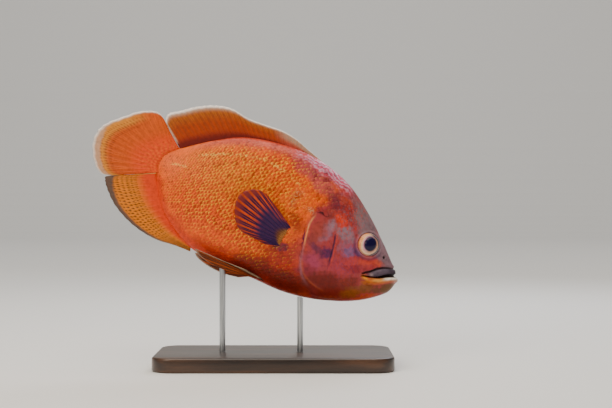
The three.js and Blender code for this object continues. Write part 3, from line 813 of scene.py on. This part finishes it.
def build_scales(name, side, seed):
    """All the scales of one side as one mesh."""
    places = scale_places(side, seed)
    share, turn, size = places[:, 0:1], places[:, 1:2], places[:, 2:3]

    def pace(share_step, turn_step):
        """How many mm the surface moves for one share, or for one radian."""
        ahead = body_point(share + share_step, turn + turn_step)
        behind = body_point(share - share_step, turn - turn_step)
        return np.linalg.norm(ahead - behind, axis=-1) / (2 * SMALL_STEP)

    per_share, per_turn = pace(SMALL_STEP, 0), pace(0, SMALL_STEP)
    long = (0.35 - SCALE_POINTS[None, :, 0]) * SCALE_LONG * size
    wide = SCALE_POINTS[None, :, 1] * SCALE_WIDE * size
    twist = places[:, 3:4]
    x, y = long - wide * twist, wide + long * twist
    at_share = np.clip(share + x / per_share, 0, 1)
    at_turn = turn + y / np.maximum(per_turn, 4)
    root_to_edge = np.broadcast_to(SCALE_ALONG[None], x.shape)
    base = body_point(at_share, at_turn)
    from_back, from_belly = under_back(base[..., 0], base[..., 2]), over_belly(base[..., 0], base[..., 2])
    shown = 0.45 + 0.55 * smooth(2, BARE_BAND + 2, from_back) * smooth(2, BARE_BAND + 2, from_belly)
    lift = -0.35 + 0.8 * root_to_edge * size * shown + SCALE_POINTS[None, :, 2] + 0.1 * places[:, 4:5]
    lift = lift - TAIL_THINS * smooth(16, -7, base[..., 0])
    normal = body_normal(at_share, at_turn)
    points = posed(base + normal * (lift - SKIN_UNDER)[..., None])
    on_scale = SCALE_POINTS[None, :, 1] * np.where(side > 0, 1, -1) + np.zeros(x.shape)
    colours = scale_colours(base, root_to_edge, on_scale, *(places[:, i:i + 1] for i in (4, 5, 6)))
    count = SCALE_POINTS.shape[0]
    faces = SCALE_FACES[None] + np.arange(len(places))[:, None, None] * count
    mesh = bpy.data.meshes.new(name)
    mesh.from_pydata(points.reshape(-1, 3).tolist(), [], faces.reshape(-1, 4).tolist())
    paint(mesh, colours.reshape(-1, 3))
    patch = SCALE_POINTS[None, :, :2] * PATCH_ON_UNWRAP
    root = np.stack([share[:, 0], (turn[:, 0] / (2 * np.pi) + 0.25) % 1], -1)[:, None, :]
    uv = (root * 0.99 + patch + 0.002).reshape(-1, 2)
    layer = mesh.uv_layers.new(name="OFBake")
    corners = np.empty(len(mesh.loops), int)
    mesh.loops.foreach_get("vertex_index", corners)
    layer.uv.foreach_set("vector", uv[corners].ravel())
    finished(name, mesh, SCALE_FINISH)


def scale_colours(base, root_to_edge, on_scale, light, dark, tone):
    """The markings, with painted shade in red where each scale comes out from under its neighbour, and a
    slanting yellow painted highlight at its free edge.
    """
    a, h = base[..., 0], base[..., 2]
    trunk = smooth(152, 122, a) * smooth(-50, -24, h)
    bright = trunk * smooth(3, BARE_BAND + 8, under_back(a, h)) * smooth(3, BARE_BAND + 5, over_belly(a, h))
    bright = bright * (0.3 + 0.7 * smooth(122, 92, a)) * (0.2 + 0.8 * smooth(0, 36, a))
    # painted highlight: a slanting yellow fleck where each scale's free edge catches the light
    edge_highlight = smooth(0.80, 0.93, root_to_edge + 0.16 * on_scale) * smooth(0.05, 0.55, light) * bright
    # painted shadow behind the neighbour's edge on some scales, with the redder root showing there
    root_shade = smooth(0.80, 0.92, dark) * ridge(root_to_edge - 0.55, 0.25) * trunk
    nape = smooth(100, 125, a) * smooth(28, 42, h)
    upper, _ = to_line(a, h, UPPER_LATERAL, 24)
    lower, _ = to_line(a, h, LOWER_LATERAL, 8)
    pores = ridge(np.minimum(np.abs(upper), np.abs(lower)), 0.9) * (0.35 + 0.65 * smooth(0.2, 0.6, tone))
    colour = layered(
        markings(base),
        # painted shade: a red band where each scale comes out from under its neighbour
        ("a81c00", (0.15 + 0.65 * bright) * ridge(root_to_edge - 0.62, 0.14)),
        ("ffb414", 0.95 * edge_highlight),
        ("8a1604", 0.5 * root_shade),
        ("5c2038", 0.3 * nape * smooth(0.6, 0.9, dark)),
        ("ffc850", 0.85 * pores * smooth(0.5, 0.8, root_to_edge)))
    return np.clip(colour * (0.86 + 0.28 * tone[..., None]), 0, 1)


build_scales("scales_right", -1, seed=11)
build_scales("scales_left", 1, seed=12)

# %% [markdown]
# ## The fins
# A fin is a thin web of skin stretched over rays. Each ray is one rod at the root and splits in two and
# then four towards the edge, so the rays stay close as the fin widens. A flat sheet with painted stripes
# would look like card, so the rays are ridges in the mesh. The web is a grid folded over at the free edge:
# the first half of its rows runs out along one face and the rest comes back along the other.

# %% A rayed fin
RAY_WIDTH = 0.17  # as a share of its strip


def ray_height(phase, out, width):
    """1 on a ray and 0 between rays. phase runs from -0.5 to 0.5 across one ray's strip."""
    first = 0.17 * smooth(0.3, 0.75, out)
    second = 0.08 * smooth(0.62, 0.95, out)
    thin = width * (1 - 0.55 * out)
    best = np.zeros(phase.shape)
    for big in (-1, 1):
        for small in (-1, 1):
            best = np.maximum(best, np.exp(-((phase - big * first - small * second) / thin) ** 2))
    return best


def build_fin(name, curves, across, rays, columns_each, rows, thick, ridge_high, colours,
              wave=0.0, bare_root=0.3):
    """A fin as one folded grid. Its two curves, root and edge, give points for shares along the fin."""
    root, edge = curves

    def place(along, over):
        out = 1 - np.abs(2 * over - 1)
        face = np.sign(over - 0.5)
        phase = (along * rays) % 1 - 0.5
        ray = ray_height(phase, out, RAY_WIDTH)
        risen = smooth(0.3 * bare_root, bare_root, out)
        scallop = 1 - 0.009 * (1 - np.exp(-(phase / 0.3) ** 2))
        start, end = root(along), edge(along)
        middle = start + (end - start) * (out * scallop)[:, None]
        swell = np.sqrt(np.clip(out * 14, 0, 1)) * np.sqrt(np.clip((1 - out) * 40, 0, 1))
        ends = np.sqrt(np.clip(np.minimum(along, 1 - along) * rays * 2, 0, 1))
        thickness = thick[0] + (thick[1] - thick[0]) * np.sqrt(out)
        half = (thickness / 2 + ridge_high * ray * risen * (1 - 0.7 * out)) * swell * ends
        bend = wave * np.sin(along * 19 + out * 2.2) * out ** 2
        points = middle + np.asarray(across) * (face * half + bend)[:, None]
        return posed(points), colours(along, out, ray)

    web = grid_mesh(rays * columns_each, 2 * rows, place)
    finished(name, web, FIN_FINISH, (name.replace("_web", ""),))


def flat_curve(points):
    """A curve in the fish's middle plane."""
    def at(share):
        side_view = spline(points, share)
        return np.stack([side_view[:, 0], np.zeros(len(side_view)), side_view[:, 1]], -1)
    return at


def speckle(along, out, across_count, out_count, seed):
    """Rows of soft spots: a value from 0 to 1."""
    row = np.floor(out * out_count)
    shift = 0.5 * (row % 2) + 0.35 * np.sin(row * 5.1 + seed)
    x = (along * across_count + shift) % 1 - 0.5
    z = (out * out_count) % 1 - 0.5
    return np.exp(-(x / 0.26) ** 2 - (z / 0.3) ** 2)


mid_strip = ray_height(np.zeros(2), np.array([0, 1]), RAY_WIDTH)
print("height in the middle of a strip, at the root and at the edge:", mid_strip.round(2))


# %% [markdown]
# ### Back, belly and tail fins
# The dorsal fin is orange brown with a dark red root and a white edge. The tail fin is orange, with a clear
# beige margin that is narrow along the top. The anal fin is yellow with rows of black dashes and a dark
# margin.

# %% The three middle fins
DORSAL_ROOT = [(116, 59), (86, 58), (57, 50), (30, 34), (5.4, 14.9)]
DORSAL_EDGE = [(118, 62.5), (103, 65.6), (88, 69.1), (74, 69.6), (60, 67.4), (44, 65.3), (28, 66.2), (14, 62),
               (1, 54), (-10, 44.2), (-18.4, 36.8), (-17, 29.2)]
ANAL_ROOT = [(52, -53), (34, -45), (16, -33), (3, -20), (-3.5, -12)]
ANAL_EDGE = [(54, -58), (40, -59.6), (24, -62.6), (8, -62.4), (-8, -59.1), (-23, -52.9), (-34.3, -44.6),
             (-39.8, -38.4), (-39.6, -34.6), (-25, -25.9)]
CAUDAL_ROOT = [(4.5, 15.2), (-3, 4), (-3, -6), (0, -10.5)]
CAUDAL_EDGE = [(-15.8, 28.1), (-20, 31.8), (-25.6, 33.8), (-32.5, 32.4), (-42, 26.6), (-52.5, 15.6),
               (-61.5, 5.4), (-65.58, -3.5), (-65.2, -14), (-58.6, -26), (-48.4, -34.6), (-38.8, -33.6),
               (-24, -25)]
SIDEWAYS = (0, 1, 0)


def dorsal_colours(along, out, ray):
    """Dark red at the root, orange brown with olive rays further out, and a white edge."""
    spiny = 1 - smooth(0.2, 0.34, along)
    spots = speckle(along, out, 66, 6, 3)
    return layered(
        plain("6c0e04", out),
        ("b43a04", smooth(0.12, 0.4, out)),
        ("b86606", 0.8 * smooth(0.5, 0.85, out) * smooth(0.15, 0.4, along)),
        ("8c3a08", 0.6 * (1 - ray) * smooth(0.2, 0.5, out)),
        ("b84838", 0.8 * spiny),
        ("a8a490", 0.7 * spiny * smooth(0.35, 0.7, out)),
        ("e07c30", 0.8 * spiny * spots * smooth(0.3, 0.6, out)),
        ("c8a48c", 0.6 * smooth(0.82, 0.92, out)),
        ("e0c8ac", 0.75 * smooth(0.965, 0.99, along) * smooth(0.15, 0.35, out)),
        ("fff4ec", 0.95 * smooth(0.91, 0.965, out)))


def caudal_colours(along, out, ray):
    """Orange with darker webs, black flecks before a clear beige margin, and a thin white edge."""
    rear = smooth(0.25, 0.42, along)
    flecks = speckle(along, out, 57, 13, 2) * window(out, 0.6, 0.78, 0.86, 0.92)
    margin = 0.955 - 0.07 * window(along, 0.48, 0.64, 0.86, 0.96)
    return layered(
        plain("ea4200", out),
        ("da5800", smooth(0.2, 0.6, out)),
        ("b84404", 0.5 * (1 - ray) * smooth(0.3, 0.55, out)),
        ("b83004", 0.6 * speckle(along, out, 15, 24, 5) * (1 - smooth(0.25, 0.45, out))),
        ("ffa020", 0.3 * speckle(along, out, 13, 21, 9) * (1 - smooth(0.2, 0.4, out))),
        ("3a2010", 0.75 * flecks * rear),
        ("e8b03c", 0.5 * rear * smooth(0.74, 0.86, out) * (1 - flecks)),
        ("5a1808", 0.75 * smooth(0.955, 0.985, along) * (1 - smooth(0.75, 0.9, out))),
        ("c89c80", 0.88 * smooth(margin - 0.018, margin + 0.018, out)),
        ("fffaf6", 0.95 * smooth(0.966, 0.984, out)))


def anal_colours(along, out, ray):
    """Orange at the root, then yellow with black dashes in rows, and a dark margin that widens backwards."""
    front = 1 - smooth(0.05, 0.34, along)
    small_spots = 0.7 * speckle(along, out, 52, 24, 4) * smooth(0.75, 0.5, out)
    spots = np.maximum(speckle(along, out, 40, 11, 1), small_spots)
    spots = spots * window(out, 0.3, 0.5, 0.84, 0.9) * (1 - front)
    margin = 0.9 - 0.08 * smooth(0.5, 0.95, along)
    return layered(
        plain("e23e00", out),
        ("e47c00", smooth(0.2, 0.5, out)),
        ("140e06", 0.95 * smooth(0.25, 0.6, spots)),
        ("4a4644", 0.92 * smooth(margin - 0.03, margin + 0.03, out) * (1 - 0.5 * front)),
        ("5c3c1c", 0.7 * front * smooth(0.35, 0.6, out)),
        ("d8c8a0", 0.7 * front * smooth(0.94, 0.98, out)),
        ("ffe684", 0.95 * smooth(0.95, 0.975, along) * (1 - smooth(0.7, 0.9, out))))


build_fin("dorsal_fin_web", (flat_curve(DORSAL_ROOT), flat_curve(DORSAL_EDGE)), SIDEWAYS,
          rays=31, columns_each=10, rows=26, thick=(3.6, 0.5), ridge_high=0.45,
          colours=dorsal_colours, wave=0.5)
build_fin("anal_fin_web", (flat_curve(ANAL_ROOT), flat_curve(ANAL_EDGE)), SIDEWAYS,
          rays=19, columns_each=14, rows=34, thick=(3.4, 0.5), ridge_high=0.45,
          colours=anal_colours, wave=0.4)
build_fin("caudal_fin_web", (flat_curve(CAUDAL_ROOT), flat_curve(CAUDAL_EDGE)), SIDEWAYS,
          rays=18, columns_each=16, rows=40, thick=(5.2, 0.5), ridge_high=0.5,
          colours=caudal_colours, wave=0.5)

# %% [markdown]
# ### Paired fins
# The pectoral fins fan out from the sides and are dark purple with orange between the rays. The pelvic fins
# are long and narrow, folded back under the belly, brown with a dark leading ray and a pale edge.

# %% The paired fins
PECTORAL_ROOT = [(126, -2.5), (121, -16)]
PECTORAL_EDGE = [(106, 8.4), (95.5, 13.4), (87, 16.4), (79, 15), (72, 9), (70, 1), (72.4, -8), (77.6, -16),
                 (84.5, -20.6), (95, -21.2), (108, -21.4)]
PECTORAL_OUT = 19.5
PECTORAL_GAP = 3
PECTORAL_SPREAD = 0.32
PELVIC_ROOT = [(124, -49), (114, -50)]
PELVIC_EDGE = [(104, -51), (84, -53.5), (61, -55.5), (57, -56.4), (66, -60), (84, -60.5), (100, -57)]
PELVIC_OUT = {"root": 6.2, "root_gains": 4.2, "edge": 17.4, "edge_loses": 6.4}
PELVIC_ACROSS = (0.73, -0.68)


def pectoral_colours(along, out, ray):
    """Indigo purple to half way, then dark rays with orange between them. The fleshy root is yellow brown."""
    split = 0.68 - 0.1 * smooth(0.1, 0.5, along) + 0.08 * smooth(0.6, 1, along)
    streaks = smooth(0.25, 0.05, ray) * smooth(0.3, 0.45, out) * smooth(0.42, 0.1, along)
    flesh = smooth(0.24, 0.15, out + 0.04 * np.sin(along * 9))
    return layered(
        plain("dc4808", out),
        ("b0380c", smooth(0.85, 1, out)),
        ("8c2c1c", 0.65 * smooth(0.62, 0.9, along)),
        ("2c0e38", smooth(0.08, 0.34, ray) * (1 - 0.5 * smooth(0.8, 1, out))),
        ("30144c", 0.97 * smooth(split + 0.12, split - 0.1, out)),
        ("e0500c", 0.7 * streaks),
        ("6e3c1c", 0.92 * flesh * smooth(0.1, 0.3, along)),
        ("c08038", 0.7 * ridge(out - 0.13, 0.035) * smooth(0.1, 0.3, along)))


def pelvic_colours(along, out, ray):
    """Orange brown between dark rays, with a black leading ray and a pale outer edge."""
    return layered(
        plain("a0440c", out),
        ("341408", 0.85 * smooth(0.2, 0.7, ray)),
        ("6a1404", 0.8 * smooth(0.35, 0.1, out)),
        ("1c1210", 0.9 * smooth(0.3, 0.12, along)),
        ("b09478", 0.8 * ridge(along - 0.06, 0.05) * smooth(0.2, 0.4, out)),
        ("c8b49a", 0.7 * smooth(0.95, 0.985, out)))


def pectoral_curves(side):
    """The root and the edge of the pectoral fin on one side."""
    def root(share):
        line = spline(PECTORAL_ROOT, share)
        return np.stack([line[:, 0], np.full(len(line), side * PECTORAL_OUT), line[:, 1]], -1)

    def edge(share):
        line = spline(PECTORAL_EDGE, share)
        back = spline(PECTORAL_ROOT, share)[:, 0] - line[:, 0]
        out = side * (PECTORAL_OUT + PECTORAL_GAP + PECTORAL_SPREAD * back)
        return np.stack([line[:, 0], out, line[:, 1]], -1)
    return root, edge


def pelvic_curves(side, raised):
    """The root and the edge of the pelvic fin on one side."""
    def root(share):
        line = spline(PELVIC_ROOT, share)
        out = side * (PELVIC_OUT["root"] + PELVIC_OUT["root_gains"] * share)
        return np.stack([line[:, 0], out, line[:, 1]], -1)

    def edge(share):
        line = spline(PELVIC_EDGE, share)
        out = side * (PELVIC_OUT["edge"] - PELVIC_OUT["edge_loses"] * share)
        return np.stack([line[:, 0], out, line[:, 1] + raised], -1)
    return root, edge


for side_name, side, raised in (("right", -1, 3), ("left", 1, -2)):
    length = math.hypot(PECTORAL_SPREAD, 1)
    build_fin("pectoral_fin_" + side_name + "_web", pectoral_curves(side),
              (PECTORAL_SPREAD / length, side / length, 0), rays=14, columns_each=14, rows=34,
              thick=(3.4, 0.45), ridge_high=0.45, colours=pectoral_colours,
              wave=0.6, bare_root=0.05)
    build_fin("pelvic_fin_" + side_name + "_web", pelvic_curves(side, raised),
              (0, side * PELVIC_ACROSS[0], PELVIC_ACROSS[1]), rays=6, columns_each=14, rows=30,
              thick=(3.6, 0.5), ridge_high=0.4, colours=pelvic_colours)

# %% [markdown]
# ## The eyes
# The eye is a glossy flattened ball, sunk in its socket, with a lens-shaped pupil that bulges from it. The
# iris is orange and cream behind the pupil and peach in front, and painted shadow from the socket darkens
# its rim, most in front. Each piece is a round ball, stretched, then tilted and turned into the socket. A
# clear lens over a dark hole could be made too, but a dark, polished lens looks much the same and is simpler.

# %% Shaping and painting the eyes
EYE = {"along": 184.2, "high": 18.3, "out": 13.8, "radius": 9.9, "depth": 4.85, "turn": 0.24, "tilt": 0.2}
PUPIL = {"radius": 5.0, "tall": 5.6, "depth": 1.9, "forward": 0.3, "raised": 0.5, "sunk": 0.9}


def ball(centre, sizes, side, offset=(0, 0, 0), segments=64, rings=40):
    """A ball stretched to three half sizes, shifted, then tilted up and turned forward into its socket."""
    bm = bmesh.new()
    bmesh.ops.create_uvsphere(bm, u_segments=segments, v_segments=rings, radius=1)
    points = np.array([v.co for v in bm.verts])
    local = np.stack([points[:, 0] * sizes[0], points[:, 2] * sizes[1], points[:, 1] * sizes[2]], -1) + offset
    c, s = math.cos(EYE["tilt"]), side * math.sin(EYE["tilt"])
    tilted = np.stack([local[:, 0], local[:, 1] * c - local[:, 2] * s, local[:, 1] * s + local[:, 2] * c], -1)
    c, s = math.cos(EYE["turn"]), -side * math.sin(EYE["turn"])
    forward, out = tilted[:, 0] * c - tilted[:, 1] * s, tilted[:, 0] * s + tilted[:, 1] * c
    turned = np.stack([forward, out, tilted[:, 2]], -1)
    for vert, point in zip(bm.verts, posed(turned + centre)):
        vert.co = point
    return mesh_of(bm, "ball"), local


def iris_colours(local):
    """The iris: orange behind, cream and pink inside that, peach in front, and painted socket shadow round
    its rim.
    """
    x, z = local[:, 0] - PUPIL["forward"], local[:, 2] - PUPIL["raised"]
    far = np.hypot(x / PUPIL["radius"], z / PUPIL["tall"])
    angle = np.arctan2(z, x)
    behind = smooth(0.1, -0.7, np.cos(angle + 0.35))
    streak = 0.5 + 0.5 * np.sin(angle * 31 + far * 5)
    rim = np.hypot(local[:, 0] / EYE["radius"], local[:, 2] / EYE["radius"])
    ahead = smooth(-0.3, 0.5, np.cos(angle - 0.3))
    socket_shadow_at = 0.9 - 0.1 * ahead
    return layered(
        plain("d89470", far),
        ("f08408", 0.97 * behind * smooth(1.38, 1.55, far)),
        ("ffdca0", 0.7 * behind * ridge(far - 1.38, 0.1)),
        ("d484c4", 0.85 * smooth(0.3, -0.6, np.cos(angle)) * ridge(far - 1.2, 0.1)),
        ("52386c", 0.6 * smooth(0.5, 1, np.sin(angle - 0.2)) * smooth(1.5, 1.2, far)),
        ("f4d8a8", 0.7 * ridge(far - 1.5, 0.1) * smooth(0.2, -0.6, np.sin(angle))),
        ("fff2de", 0.14 * streak),
        ("1c1030", 0.95 * smooth(1.2, 1.06, far)),
        # painted shadow of the socket round the eye's rim, darker in front
        ("1e0c28", 0.95 * (0.35 + 0.65 * ahead) * smooth(socket_shadow_at - 0.05, socket_shadow_at, rim)),
        ("7c6a72", 0.9 * ahead * smooth(socket_shadow_at + 0.05, socket_shadow_at + 0.09, rim)))


for side_name, side in (("right", -1), ("left", 1)):
    socket_at = (EYE["along"], side * EYE["out"], EYE["high"])
    eye_mesh, eye_local = ball(socket_at, (EYE["radius"], EYE["depth"], EYE["radius"]), side)
    paint(eye_mesh, iris_colours(eye_local))
    finished("eyeball_" + side_name, eye_mesh, EYE_FINISH, ("eye_" + side_name,))
    lens_at = (PUPIL["forward"], side * (EYE["depth"] - PUPIL["sunk"]), PUPIL["raised"])
    lens_sizes = (PUPIL["radius"], PUPIL["depth"], PUPIL["tall"])
    pupil_mesh, _ = ball(socket_at, lens_sizes, side, lens_at, 48, 24)
    finished("eye_lens_" + side_name, pupil_mesh, LENS_FINISH, ("pupil_" + side_name,))

# %% [markdown]
# ## The stand
# A museum holds such a model on a plain base. The base is dark stained wood with rounded corners and
# softened edges, and two brushed steel rods run up into the belly. A plain rod needs no finer shape, so the
# solids' own rods stay and only get a new finish.

# %% Wood and steel
def wood_finish():
    """Dark stained wood with its grain along the base."""
    material, tree, shader = new_finish("dark_wood", 0.38, 0.25)
    grain = add_noise(tree, 26, 5, (0.35, 4, 4))
    colour = add_ramp(tree, grain, [(0.3, "1d120c"), (0.5, "3a2416"), (0.68, "5a3a24")])
    tree.links.new(colour, shader.inputs["Base Color"])
    add_bump(tree, shader, grain, 0.35, 0.0004)
    return material


def steel_finish():
    """Steel brushed along its length."""
    material, tree, shader = new_finish("brushed_steel", 0.28, 0, 0.5, 1.0)
    brushing = add_noise(tree, 900, 2, (1, 1, 0.03))
    tree.links.new(add_ramp(tree, brushing, [(0.3, "9a9ea2"), (0.7, "d0d3d6")]), shader.inputs["Base Color"])
    add_bump(tree, shader, brushing, 0.2, 0.00005)
    return material


BASE_LENGTH = 0.200
BASE_WIDTH = 0.104
BASE_HEIGHT = 0.012
BASE_CORNER = 0.0175
EDGE_ROUND = 0.0016
LEVEL_WITHIN = 1e-6


def rise(edge):
    """How much higher one end of an edge is than the other."""
    return abs(edge.verts[0].co.z - edge.verts[1].co.z)


bm = bmesh.new()
bmesh.ops.create_cube(bm, size=1)
bmesh.ops.scale(bm, vec=(BASE_LENGTH, BASE_WIDTH, BASE_HEIGHT), verts=bm.verts)
bmesh.ops.translate(bm, vec=(0, 0, BASE_HEIGHT / 2), verts=bm.verts)
upright = [e for e in bm.edges if rise(e) > BASE_HEIGHT / 2]
bmesh.ops.bevel(bm, geom=upright, offset=BASE_CORNER, segments=10, affect="EDGES", profile=0.5, material=-1)
flat_edges = [e for e in bm.edges if rise(e) < LEVEL_WITHIN and e.calc_face_angle(0) > 1]
bmesh.ops.bevel(bm, geom=flat_edges, offset=EDGE_ROUND, segments=3, affect="EDGES", profile=0.5, material=-1)
base_mesh = mesh_of(bm, "base")
finished("stand_block", base_mesh, wood_finish(), ("stand_base",))
base_mesh.set_sharp_from_angle(angle=math.radians(50))

steel = steel_finish()
for name in ("stand_rod_front", "stand_rod_rear"):
    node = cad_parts[name]
    node.data.materials.clear()
    node.data.materials.append(steel)
print("stand finished")

# %% [markdown]
# ## The floor
# A plain pale floor catches a soft shadow. It curves up behind like a photographer's paper roll, because an
# edge would show as a horizon.

# %% Floor and backdrop
FLOOR_HALF = 4
SWEEP_RADIUS = 2.5
FLOOR_COLOUR = (0.86, 0.85, 0.83, 1)
bm = bmesh.new()
bmesh.ops.create_grid(bm, x_segments=1, y_segments=1, size=FLOOR_HALF)
back_edge = [e for e in bm.edges if all(v.co.y > FLOOR_HALF - 0.1 for v in e.verts)]
bmesh.ops.spin(
    bm, geom=back_edge, cent=(0, FLOOR_HALF, SWEEP_RADIUS), axis=(1, 0, 0), angle=math.pi / 2, steps=24)
floor_mesh = mesh_of(bm, "floor")
floor = bpy.data.objects.new("floor", floor_mesh)
bpy.context.scene.collection.objects.link(floor)
floor_finish, _, floor_shader = new_finish("pale_floor", 0.8)
floor_shader.inputs["Base Color"].default_value = FLOOR_COLOUR
floor_mesh.materials.append(floor_finish)
print("floor laid")
